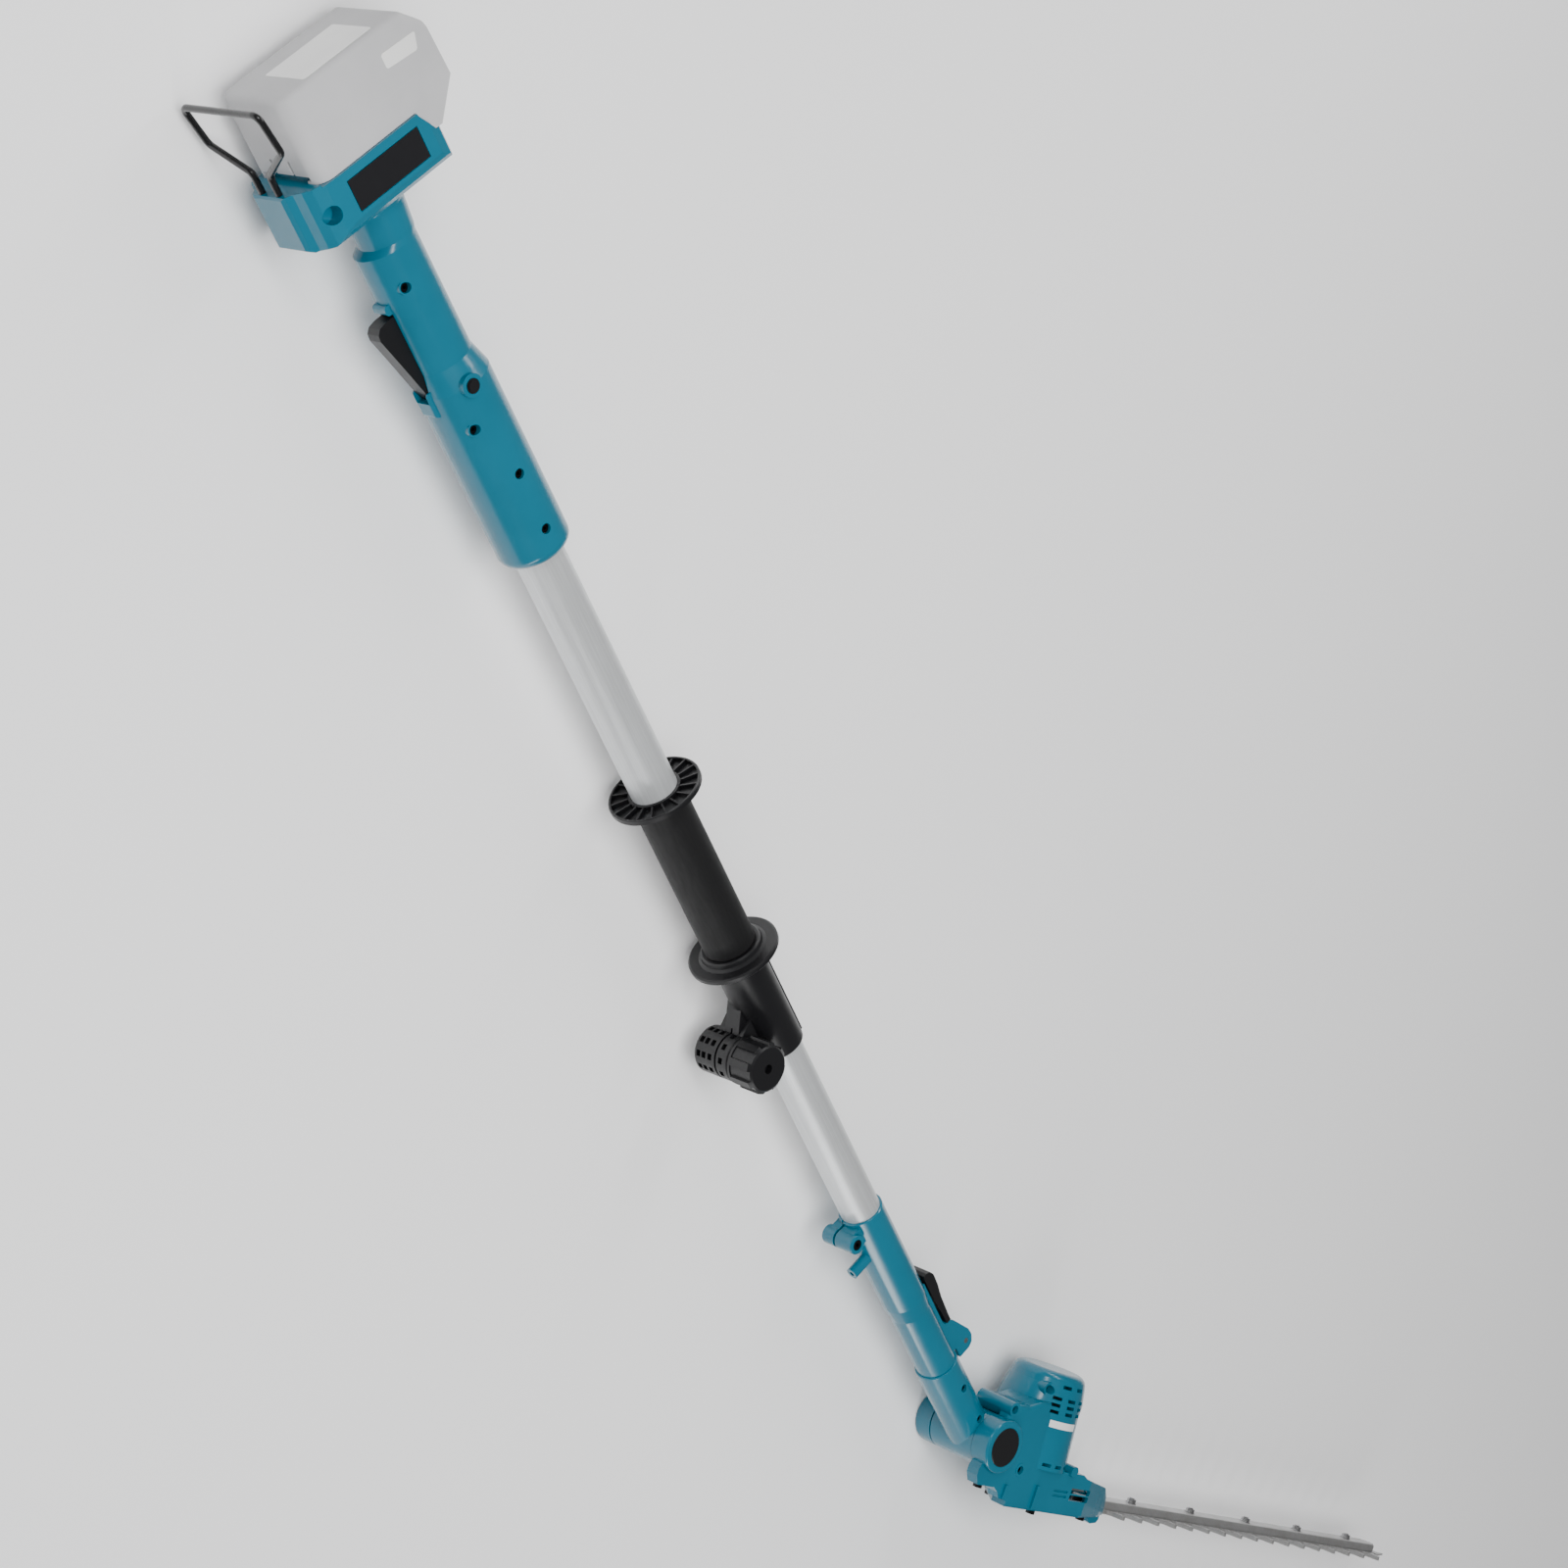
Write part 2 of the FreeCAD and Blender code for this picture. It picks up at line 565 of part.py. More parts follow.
def clamp_knob():
    x, y = d.clamp_along, d.clamp_drop
    barrel = cylinder(d.knob_radius, d.knob_length, (x, y, d.knob_start), "Z")
    skirt = cylinder(d.knob_radius + 0.9, 2.4, (x, y, d.knob_start), "Z")
    ridge = block((-3.2, 0, 3.2), (3.2, d.knob_radius + 2, d.knob_length))
    ridges = [moved(ridge, (x, y, d.knob_start), FreeCAD.Rotation(Vector(0, 0, 1), angle))
              for angle in range(0, 360, 45)]
    face = d.knob_start + d.knob_length
    bevel = 3.5
    envelope = fuse(cylinder(d.knob_radius + 3, d.knob_length - bevel, (x, y, d.knob_start), "Z"),
                    cone(d.knob_radius + 3, d.knob_radius - 1.5, bevel, (x, y, face - bevel), "Z"))
    body = common(fuse(barrel, skirt, *ridges), envelope)
    eye = cylinder(4, 8, (x, y, face - 6), "Z")
    bore = cylinder(d.clamp_bolt_radius + 0.08, 30, (x, y, 5), "Z")
    node(cut(body, eye, bore), "clamp_knob")
    bolt = fuse(cylinder(d.clamp_bolt_radius, 55, (x, y, -27), "Z"),
                cylinder(6, 3.4, (x, y, -28.4), "Z"))
    node(bolt, "clamp_bolt")


# ---- pipe holder, tilt lever and arm ----------------------------------------------------

def pipe_holder():
    r = d.holder_radius
    neck = d.holder_neck_radius
    body = turned([
        (d.holder_start, d.inner_radius + d.fit), (d.holder_start, r - 0.8),
        (d.holder_start + 0.8, r), (586, r), (602, neck), (d.holder_end, neck),
        (d.holder_end, d.spigot_radius), (d.holder_end + 24, d.spigot_radius),
        (d.holder_end + 24, 12.5), (d.inner_end + 3, 12.5), (d.inner_end + 3, 15),
        (d.inner_end, 15), (d.inner_end, d.inner_radius + d.fit),
    ])
    x, y = d.lug_along, d.lug_drop
    lug = cylinder(d.lug_radius, 35, (x, y, -19.5), "Z")
    lug = rounded(lug, 1.2, lambda edge: flat_at(edge, "Z", -19.5) or flat_at(edge, "Z", 15.5))
    lug_web = block((x - 8, y + 3, -15), (x + 8, -12, 12))
    stub = cylinder(5.2, 24, (516, -38, 4), "Y")
    ear = prism([(636, 14), (641, 26), (646, 30.5), (668, 40.5), (676, 41), (682, 38),
                 (684.5, 33), (684.5, 20.4), (d.holder_end, 20.4), (d.holder_end, 14)], -8, 8)
    ear = rounded(ear, 2.2, lambda edge: straight(edge, "Z") and edge.BoundBox.YMax > 24)
    bed = prism([(582, 12), (586, 19), (650, 19), (660, 12)], -9, 9)
    inside = [
        cylinder(d.inner_radius + d.fit, 92, (d.holder_start, 0, 0)),
        cylinder(12.5, 110, (d.inner_end + 3, 0, 0)),
        block((d.holder_start - 1, -45, -6), (x + 14, -10, -3.6)),
        cylinder(2.6, 50, (x, y, -25), "Z"),
        cylinder(4.6, 3.6, (x, y, -19.5), "Z"),
        cylinder(4.8, 3, (x, y, 12.5), "Z"),
        cylinder(2.2, 20, (516, -39, 4), "Y"),
        block((616, 20.3, -4.2), (700, 60, 4.2)),
        block((600, 20.3, -12), (641.2, 60, 12)),
        cylinder(2.55, 30, (d.ear_along, d.ear_rise, -15), "Z"),
    ]
    node(cut(fuse(body, lug, lug_web, stub, ear, bed), *inside), "pipe_holder")
    bolt = fuse(cylinder(2.5, 30, (x, y, -17.5), "Z"), cylinder(4.4, 2.6, (x, y, 12.5), "Z"))
    node(cut(bolt, cylinder(1.7, 2, (x, y, 13.4), "Z")), "holder_bolt")
    node(tube(4.5, 2.55, 3, (x, y, -19.2), "Z"), "holder_nut")


def tilt_lever():
    x, y = d.ear_along, d.ear_rise
    pad = prism([(580, 20.8), (579, 25), (581, 29.4), (586, 31.4), (598, 31), (612, 28.6),
                 (640.8, 27), (640.8, 22.4), (600, 20.6)], -9.6, 9.6)
    pad = rounded(pad, 1.8, lambda edge: straight(edge, "Z") and edge.BoundBox.XMax < 599)
    tongue = prism([(636, 28), (666, 36.4), (676, 38.4), (681, 36.5), (681.4, 31), (676, 27.4),
                    (660, 25.4), (636, 23.4)], -3.9, 3.9)
    hole = cylinder(2.56, 30, (x, y, -15), "Z")
    grips = [block((at, 29.6, -7), (at + 1.6, 36, 7)) for at in (588, 592, 596)]
    shallow = common(fuse(*grips), prism([(586, 30.6), (599, 30.2), (599, 40), (586, 40)], -8, 8))
    node(cut(fuse(pad, tongue), hole, shallow), "tilt_lever")
    node(cylinder(2.5, 15.6, (x, y, -7.8), "Z"), "lever_pin")
    node(tube(2.4, 1.6, 3.9, (650, 20.3, 0), "Y"), "lever_spring")


ARM_SCREWS = ((702.5, 3), (745, 3.4))


def arm():
    px, py = d.pivot_along, d.pivot_rise
    start = d.holder_end + 0.1
    length = px - start
    sleeve = cylinder(d.arm_radius, length, (start, 0, 0))
    sleeve = rounded(sleeve, 1.2, lambda edge: flat_at(edge, "X", start))
    height = d.knuckle_high - d.knuckle_low
    knuckle = cylinder(d.knuckle_radius, height, (px, py, d.knuckle_low), "Z")
    inside = [
        cylinder(d.spigot_radius + d.fit, 25.5, (start - 1, 0, 0)),
        cylinder(d.shaft_radius + d.fit, 60, (px, py, -35), "Z"),
        cylinder(19, 6.1, (px, py, d.knuckle_low - 0.1), "Z"),
    ]
    notch = block((640, 19.5, -9), (684.8, 24, 9))
    for x, y in ARM_SCREWS:
        inside.append(cylinder(3.6, 8, (x, y, 14.6), "Z"))
        inside.append(cylinder(1.62, 6, (x, y, 9.6), "Z"))
    node(cut(fuse(sleeve, knuckle), notch, *inside), "tilt_arm")
    screws = [screw((x, y, 14.6), 1.6, 3, 4.6, 2, 1.2) for x, y in ARM_SCREWS]
    node(group(*screws), "arm_screws")
    ring = tube(18.9, d.shaft_radius + 1, 5.6, (px, py, d.knuckle_low + 0.2), "Z")
    tooth = block((12.5, -1, -1), (19.5, 1, 2))
    teeth = [moved(tooth, (px, py, d.knuckle_low), FreeCAD.Rotation(Vector(0, 0, 1), angle))
             for angle in range(0, 360, 15)]
    node(cut(ring, *teeth), "detent_ring")


# ---- head: fork, motor casing and gear case, in the head's own frame ---------------------

SIDE_SCREWS = ((5, 33.5), (54.5, 56), (40, -19))
COVER_BOLTS = ((-5, 27), (80.5, 28), (77, -20), (163, 23.5), (163, -23.5))


def head_casing():
    near = d.near_face
    far = d.far_face
    face = near + 6.5
    ear = cylinder(d.ear_radius, face - 20.6, (0, 0, 20.6), "Z")
    ear = rounded(ear, 2.4, lambda edge: flat_at(edge, "Z", face))
    far_ear = cylinder(d.knuckle_radius, 14.6, (0, 0, -46), "Z")
    dome = loft([(d.case_top - 1, d.dome_radius, d.dome_radius, -84),
                 (10, d.dome_radius, d.dome_radius, -81), (36, d.dome_radius, d.dome_radius, -78),
                 (47, 38, 38, -80), (60, 35.2, 35.2, -81), (d.dome_top, 32.4, 32.4, -81)])
    dome = rounded(dome, 9, lambda edge: flat_at(edge, "X", d.dome_top))
    dome = moved(dome, (0, 0, 0), FreeCAD.Rotation(Vector(0, 0, 1), 90))
    flank = prism([(1, 20), (1, 34), (8, 39), (28, 39), (42, 44), (60, 46), (84, 34), (100, 8),
                   (106, d.case_top - 2), (20, d.case_top - 2), (2, -20)], -8, near)
    flank = rounded(flank, 6, lambda edge: straight(edge, "Z") and edge.BoundBox.YMin > 7)
    flank = rounded(flank, 4, lambda edge: flat_at(edge, "Z", near) and edge.BoundBox.YMin > -8)
    lugs = [cylinder(6.6, 41, (5, 33.5, -7.9), "Z"), cylinder(6.4, 32, (54.5, 56, -8), "Z"),
            cylinder(6.4, 14, (40, -19, near - 13.6), "Z"), cylinder(5, 14, (116, -12, 22), "Z")]
    leg = prism([(-14, -14), (-18, -24), (-18, -30), (-13, -38), (11, -38), (18, -42),
                 (22, -47), (52, -51), (60, -51), (60, 0), (0, 0)], 20.6, near)
    far_leg = prism([(0, -14), (24, -14), (84, -24), (84, 20), (40, 26), (0, 22)], -44, -23)
    ribs = [block((25, -47, 30), (29, -34, near + 2)),
            block((70, d.case_floor + 0.4, 30), (74.5, -30, near + 2.4))]
    case = prism(case_plan(), d.case_floor, d.case_top)
    case = moved(case, (0, 0, 0), FreeCAD.Rotation(Vector(1, 0, 0), -90))
    return fuse(ear, far_ear, dome, flank, *lugs, leg, far_leg, *ribs, trimmed_nose(case))


def case_plan():
    """Outline of the gear case as (along, across) points, across counted to the far side."""
    far = d.near_face
    return [(84, far), (150, far), (195, 19), (d.case_end, 14), (d.case_end, -14), (195, -19),
            (150, -far), (34, -far), (34, -17)]


def trimmed_nose(case):
    """Slopes the top of the nose of the gear case."""
    reach = 40
    slope = prism([(136, -14.01), (142, -17), (156, -19.5), (192, -25), (204, -35), (210, -50),
                   (260, -50), (260, 10), (140, 10)], -reach, reach)
    return cut(case, slope)


VENT_ROWS = ((60, (115, 88, 61)), (49, (127, 103, 79, 55)), (43, (127, 103, 79, 55)),
             (37, (127, 103, 79, 55)))


def head_hollows():
    wall = 3
    pocket = cylinder(d.knuckle_radius + 0.6, 52, (0, 0, -31.4), "Z")
    sweep = prism([(-60, -60), (9, -40), (9.5, 0), (9.5, 20), (4.4, 25.3), (-16, 45.9), (-60, 90)],
                  -31.4, 20.6)
    dome_room = cylinder(d.room_radius, d.dome_top - d.case_top - wall - 7,
                         (d.motor_along, 0, d.case_top - 4), "Z")
    dome_room = moved(dome_room, (0, 0, 0), FreeCAD.Rotation(Vector(1, 0, 0), -90))
    gear_room = prism([(85.5, 30), (149, 30), (192, 16.5), (192, -16.5), (149, -30), (37, -30),
                       (37, -18.5)], d.case_floor - 1, -17)
    posts = [cylinder(3.1, 22, (b, d.case_floor - 1, z), "Y") for b, z in COVER_BOLTS[1:]]
    gear_room = cut(moved(gear_room, (0, 0, 0), FreeCAD.Rotation(Vector(1, 0, 0), -90)), *posts)
    slot = block((186, d.case_floor - 1, -13.5), (d.case_end + 2, -46.9, 13.5))
    bar_slot = block((180, -48, -10.2), (d.case_end + 2, -39.3, 10.2))
    shaft = cylinder(d.shaft_radius + d.fit, 90, (0, 0, -50), "Z")
    plug_seat = cylinder(18.03, 8, (0, 0, d.near_face + 3.5), "Z")
    hollows = [pocket, sweep, dome_room, gear_room, slot, bar_slot, shaft, plug_seat]
    for height, angles in VENT_ROWS:
        for angle in angles:
            vent = block((24, height, -4.6), (46, height + 3, 4.6))
            turn = FreeCAD.Rotation(Vector(0, 1, 0), -angle)
            hollows.append(moved(vent, (d.motor_along, 0, 0), turn))
    hollows += [block((at, -11.4, 27), (at + 9, -8.4, 42)) for at in (66, 81, 96)]
    hollows += [block((124, c, 27), (154, c + 5, 40)) for c in (-39, -32.5)]
    hollows += [block((98, c, 31.6), (119, c + 2, 40)) for c in (-37.5, -33)]
    return hollows


def screw_seat(along):
    """Height of the shoulder under a side screw's head: lower beside the dome."""
    return {5: 26.4, 54.5: 17, 40: d.near_face.value - 7}[along]


def bolt_seat(along):
    """Height of the shoulder over a cover bolt's head: higher under the near leg."""
    return -38 if along < 0 else d.cover_floor


def head_wells():
    near = d.near_face
    wells = []
    for b, c in SIDE_SCREWS:
        seat = screw_seat(b)
        wells.append(cylinder(3.8, 22, (b, c, seat), "Z"))
        wells.append(cylinder(1.6, 9, (b, c, seat - 8), "Z"))
    for b, z in COVER_BOLTS:
        wells.append(cylinder(1.66, 13, (b, bolt_seat(b) - 1, z), "Y"))
    return wells


def head_shells():
    halves(head_casing(), head_hollows(), [], head_wells(),
           "head_shell_near", "head_shell_far", on_head=True)
    seats = [(b, c, screw_seat(b)) for b, c in SIDE_SCREWS]
    node(group(*[screw(seat, 1.58, 3.4, 6, 2.6, 1.4) for seat in seats]), "head_screws", True)
    plug = cylinder(18, 3.6, (0, 0, d.near_face + 3.6), "Z")
    plug = rounded(plug, 1.4, lambda edge: flat_at(edge, "Z", d.near_face + 7.2))
    node(plug, "pivot_plug", True)
    cap = cylinder(d.knuckle_radius - 0.6, 4, (0, 0, -50), "Z")
    cap = rounded(cap, 2, lambda edge: flat_at(edge, "Z", -50))
    node(cap, "pivot_end_cap", True)
    node(cylinder(d.shaft_radius, 79, (0, 0, -45), "Z"), "pivot_shaft", True)
    floor = prism([(83, 31.5), (149, 31.5), (194, 18), (206.5, 13), (206.5, -13), (194, -18),
                   (149, -31.5), (35.5, -31.5), (35.5, -16)], d.cover_floor, d.case_floor)
    floor = moved(floor, (0, 0, 0), FreeCAD.Rotation(Vector(1, 0, 0), -90))
    lip = prism([(191, d.cover_floor + 0.1), (191, -60.4), (195, -62), (204, -60.5),
                 (206.4, -57), (206.4, d.cover_floor + 0.1)], -13, 13)
    holes = [cylinder(1.7, 30, (b, -70, z), "Y") for b, z in COVER_BOLTS[1:]]
    node(cut(fuse(floor, lip), *holes), "gear_cover", True)
    bolts = []
    for b, z in COVER_BOLTS:
        bolts.append(screw((b, bolt_seat(b), z), 1.62, 4.2, 8, 3.4, 1.8, "Y", facing=-1))
    node(group(*bolts), "cover_bolts", True)


def ring_of_teeth(radius, count, thickness, at):
    """A spur gear: a disc with a loop of straight teeth."""
    depth = 2.2
    tooth_width = math.pi * number(radius) / count * 0.9
    disc = cylinder(radius - depth / 2, thickness, (0, 0, 0), "Y")
    tooth = block((-tooth_width / 2, 0, radius - depth / 2 - 0.6),
                  (tooth_width / 2, thickness, radius - 0.1))
    teeth = [moved(tooth, (0, 0, 0), FreeCAD.Rotation(Vector(0, 1, 0), 360 * i / count))
             for i in range(count)]
    return moved(fuse(disc, *teeth), at)


def drive():
    m = d.motor_along
    g = d.gear_along
    can = cut(tube(25, 23.4, 44, (m, 8, 0), "Y"), block((56, 6, -5), (114, 12, 5)))
    node(can, "motor_can", True)
    magnet = common(tube(23.3, 20.2, 30, (m, 14, 0), "Y"), block((0, 0, -12), (200, 60, 12)))
    node(magnet, "motor_magnets", True)
    shaft = cylinder(2.6, 80, (m, -24, 0), "Y")
    core = cylinder(19.4, 28, (m, 15, 0), "Y")
    commutator = cylinder(7, 8, (m, 43, 0), "Y")
    slot = block((-0.9, 14, 15), (0.9, 44, 22))
    slots = [moved(slot, (m, 0, 0), FreeCAD.Rotation(Vector(0, 1, 0), angle))
             for angle in range(0, 360, 30)]
    node(fuse(cut(core, *slots), commutator, shaft), "motor_rotor", True)
    hub = tube(6, 2.63, 5, (m, 0.5, 0), "Y")
    vane = block((5, 0.5, -0.6), (21, 5.5, 0.6))
    vanes = [moved(vane, (m, 0, 0), FreeCAD.Rotation(Vector(0, 1, 0), angle))
             for angle in range(0, 360, 30)]
    node(fuse(hub, *vanes), "motor_fan", True)
    pinion = cut(ring_of_teeth(d.pinion_radius, 10, 9, (m, -24, 0)), cylinder(2.63, 20, (m, -28, 0), "Y"))
    node(pinion, "motor_pinion", True)
    bearing_low = tube(8, 2.63, 5, (m, -8, 0), "Y")
    bearing_high = tube(7, 2.63, 4, (m, 51.8, 0), "Y")
    node(group(bearing_low, bearing_high), "motor_bearings", True)
    plate = cut(cylinder(26.9, 5, (m, -8, 0), "Y"), cylinder(8.02, 9, (m, -10, 0), "Y"))
    node(plate, "motor_plate", True)
    gear = cut(ring_of_teeth(d.gear_radius, 56, 5.4, (g, -23.2, 0)), cylinder(5.02, 20, (g, -30, 0), "Y"))
    node(gear, "crank_gear", True)
    offset = d.eccentric_offset
    top = d.blade_top
    thick = d.blade_thickness
    upper = cylinder(d.eccentric_radius, thick + 0.05, (g, top - thick - 0.03, offset), "Y")
    lower = cylinder(d.eccentric_radius, thick + 0.05,
                     (g, top - thick * 2 - d.blade_gap - 0.05, -offset), "Y")
    crank = fuse(cylinder(5, 34.3, (g, -51.3, 0), "Y"), upper, lower)
    node(crank, "crank_shaft", True)
    node(tube(9, 5.02, 5, (g, -30, 0), "Y"), "crank_bearing", True)
    carrier = cut(block((g - 29, -30, -29.8), (g + 29, -26, 29.8)), cylinder(9.02, 9, (g, -33, 0), "Y"))
    node(carrier, "bearing_plate", True)


def blade(label, level, spike):
    """One toothed shear blade with its yoke; level is the blade's upper face."""
    body = doc.addObject("PartDesign::Body", "blade")
    root = d.tooth_root
    first = d.tooth_first
    pitch = d.tooth_pitch
    end = first + pitch * d.tooth_count
    strip = padded(body, "XY_Plane", [
        (145, -root), (end - 4, -root), (end + 6, -root + 5), (end + spike, 0), (end + 6, root - 5),
        (end - 4, root), (145, root)], 0, d.blade_thickness)
    sides = []
    tip = d.tooth_tip
    for sign in (1, -1):
        pad = padded(body, "XY_Plane", [
            (first, sign * (root - 1)), (first, sign * root), (first + 4.4, sign * (root + 4)),
            (first + 7.5, sign * (tip - 1.5)), (first + 8.8, sign * tip),
            (first + 12.2, sign * (tip - 0.6)), (first + 13.6, sign * (root + 3)),
            (first + 16.5, sign * root), (first + 16.5, sign * (root - 1))], 0, d.blade_thickness)
        sides.append(pad)
    row = body.newObject("PartDesign::LinearPattern", "row")
    row.Originals = sides
    row.Direction = (next(f for f in body.Origin.OriginFeatures if f.Role == "X_Axis"), [""])
    bind(row, Length=pitch * (d.tooth_count - 1), Occurrences=d.tooth_count)
    body.Tip = row
    yoke_half = 28
    opening = d.eccentric_radius + d.eccentric_offset * 2 + 0.3
    g = d.gear_along
    plate = prism([(g - yoke_half, -26), (g + yoke_half, -26), (g + yoke_half, 26),
                   (g - yoke_half, 26)], 0, d.blade_thickness)
    window = prism([(g - opening, -16.6), (g + opening, -16.6), (g + opening, 16.6),
                    (g - opening, 16.6)], -1, d.blade_thickness + 1)
    slots = []
    for x in BAR_BOLTS:
        slots.append(block((x - 10.6, -3.1, -1), (x + 10.6, 3.1, 4)))
    solid = cut(fuse(body, plate), window, *slots)
    laid = moved(solid, (0, level - d.blade_thickness, 0), FreeCAD.Rotation(Vector(1, 0, 0), -90))
    node(laid, label, True)


BAR_BOLTS = (267, 366, 464, 558, 652)


def cutter():
    top = d.blade_top
    step = d.blade_thickness + d.blade_gap
    blade("upper_blade", top, 8)
    blade("lower_blade", top - step, 32)
    w = d.bar_half_width
    end = d.tooth_first + d.tooth_pitch * d.tooth_count + 2
    flange = top + 0.1
    base = prism([(186, -w), (end - 8, -w), (end - 2, -w + 5), (end, 0), (end - 2, w - 5),
                  (end - 8, w), (186, w)], 0, d.bar_top - flange)
    bar = moved(base, (0, flange, 0), FreeCAD.Rotation(Vector(1, 0, 0), -90))
    bar = rounded(bar, 2.2, lambda edge: flat_at(edge, "Y", d.bar_top))
    under = block((184, flange - 1, -w + 2), (end - 10, d.bar_top - 2, w - 2))
    bosses = [tube(5, 2.6, d.bar_top - flange - 1, (x, flange, 0), "Y") for x in BAR_BOLTS]
    holes = [cylinder(2.6, 20, (x, -55, 0), "Y") for x in BAR_BOLTS]
    node(cut(fuse(cut(bar, under), *bosses), *holes), "guide_bar", True)
    low = top - step * 2 - 0.1
    bolts = [fuse(cylinder(2.5, d.bar_top + 5 - low, (x, low, 0), "Y"),
                  cylinder(5, 1.6, (x, low - 1.6, 0), "Y")) for x in BAR_BOLTS]
    node(group(*bolts), "guide_bolts", True)
    nuts = []
    for x in BAR_BOLTS:
        collar = cylinder(5.2, 0.9, (x, d.bar_top, 0), "Y")
        nut = moved(prism([(4.3 * math.cos(math.radians(a)), 4.3 * math.sin(math.radians(a)))
                           for a in range(0, 360, 60)], 0, 3.2),
                    (x, d.bar_top + 0.9, 0), FreeCAD.Rotation(Vector(1, 0, 0), -90))
        nuts.append(cut(fuse(collar, nut), cylinder(2.52, 20, (x, -45, 0), "Y")))
    node(group(*nuts), "guide_nuts", True)


# ---- assembly -----------------------------------------------------------------------------

def place_nodes():
    """Moves every piece from the pole or head frame into the object's own frame."""
    doc.recompute()
    tilt = FreeCAD.Rotation(Vector(0, 0, 1), number(d.tilt))
    pivot = Vector(number(d.pivot_along), number(d.pivot_rise), 0)
    head = FreeCAD.Placement(pivot, tilt)
    whole = FreeCAD.BoundBox()
    for obj, on_head in NODES:
        shape = obj.Shape.copy()
        if on_head:
            shape.Placement = head.multiply(shape.Placement)
        shape.tessellate(0.05)
        whole.add(shape.optimalBoundingBox(True, False))
    shift = FreeCAD.Placement(Vector(-whole.Center.x, -whole.Center.y, -whole.ZMin),
                              FreeCAD.Rotation())
    for obj, on_head in NODES:
        own = shift.multiply(head) if on_head else shift
        obj.Placement = own.multiply(obj.Placement)
    doc.recompute()
    print("shift", shift.Base, "size", whole.XLength, whole.YLength, whole.ZLength)


def check_and_export():
    failed = [o.Label for o in doc.Objects if "Invalid" in o.State or "Error" in o.State]
    if failed:
        raise RuntimeError(f"failed features: {failed}")
    for obj, _ in NODES:
        if obj.Shape.isNull() or not obj.Shape.isValid() or obj.Shape.Volume <= 0:
            raise RuntimeError(f"bad shape: {obj.Label}")
    os.makedirs("parts", exist_ok=True)
    for obj, _ in NODES:
        obj.Shape.exportStep(f"parts/{obj.Label}.step")


handle()
trigger()
hanging_hook()
battery()
pipes()
front_grip()
clamp_sleeve()
clamp_knob()
pipe_holder()
tilt_lever()
arm()
head_shells()
drive()
cutter()
place_nodes()
check_and_export()
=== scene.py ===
import json
import math

import bpy
from mathutils import Matrix, Vector


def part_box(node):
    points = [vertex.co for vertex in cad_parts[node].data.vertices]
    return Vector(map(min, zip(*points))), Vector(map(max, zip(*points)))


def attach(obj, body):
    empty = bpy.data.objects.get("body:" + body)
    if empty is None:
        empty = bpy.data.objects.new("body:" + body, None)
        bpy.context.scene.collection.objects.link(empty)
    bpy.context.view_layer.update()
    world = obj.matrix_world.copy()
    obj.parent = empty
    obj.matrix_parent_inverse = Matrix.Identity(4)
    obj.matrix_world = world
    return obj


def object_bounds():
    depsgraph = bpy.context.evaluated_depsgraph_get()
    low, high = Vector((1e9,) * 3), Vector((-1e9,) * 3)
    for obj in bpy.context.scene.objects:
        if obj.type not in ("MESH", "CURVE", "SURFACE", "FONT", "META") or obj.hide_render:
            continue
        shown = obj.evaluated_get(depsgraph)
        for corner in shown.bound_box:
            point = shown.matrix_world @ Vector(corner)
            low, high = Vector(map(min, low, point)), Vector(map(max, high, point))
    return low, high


# Looks for the battery pole hedge trimmer. The CAD nodes keep their own shapes; this script gives
# each one a procedural finish and adds the blank labels, the floor, the lights and the camera.

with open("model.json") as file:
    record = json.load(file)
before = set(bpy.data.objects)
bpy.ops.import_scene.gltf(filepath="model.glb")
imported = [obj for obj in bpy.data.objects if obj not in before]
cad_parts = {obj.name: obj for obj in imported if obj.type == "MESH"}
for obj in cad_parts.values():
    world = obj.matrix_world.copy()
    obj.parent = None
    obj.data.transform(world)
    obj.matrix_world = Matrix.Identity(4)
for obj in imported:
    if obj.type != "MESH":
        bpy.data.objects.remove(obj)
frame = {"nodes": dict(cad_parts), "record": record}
cad_low, cad_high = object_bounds()
record = frame["record"]
MM = 0.001

# ---- places -------------------------------------------------------------------------------

flange_low, flange_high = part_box("grip_flange")
AXIS_Y = (flange_low.y + flange_high.y) / 2
AXIS_Z = (flange_low.z + flange_high.z) / 2
POLE_ORIGIN = Vector((flange_low.x, AXIS_Y, AXIS_Z))
TILT = math.radians(35.3)
PIVOT = POLE_ORIGIN + Vector((773, 2.5, 0)) * MM


def pole(x, y, z):
    """A point given in mm about the pole axis, in the row frame."""
    return POLE_ORIGIN + Vector((x, y, z)) * MM


def head(b, c, z):
    """A point given in mm in the head's own frame, in the row frame."""
    turned = Vector((b * math.cos(TILT) - c * math.sin(TILT),
                     b * math.sin(TILT) + c * math.cos(TILT), z))
    return PIVOT + turned * MM


# ---- materials ----------------------------------------------------------------------------

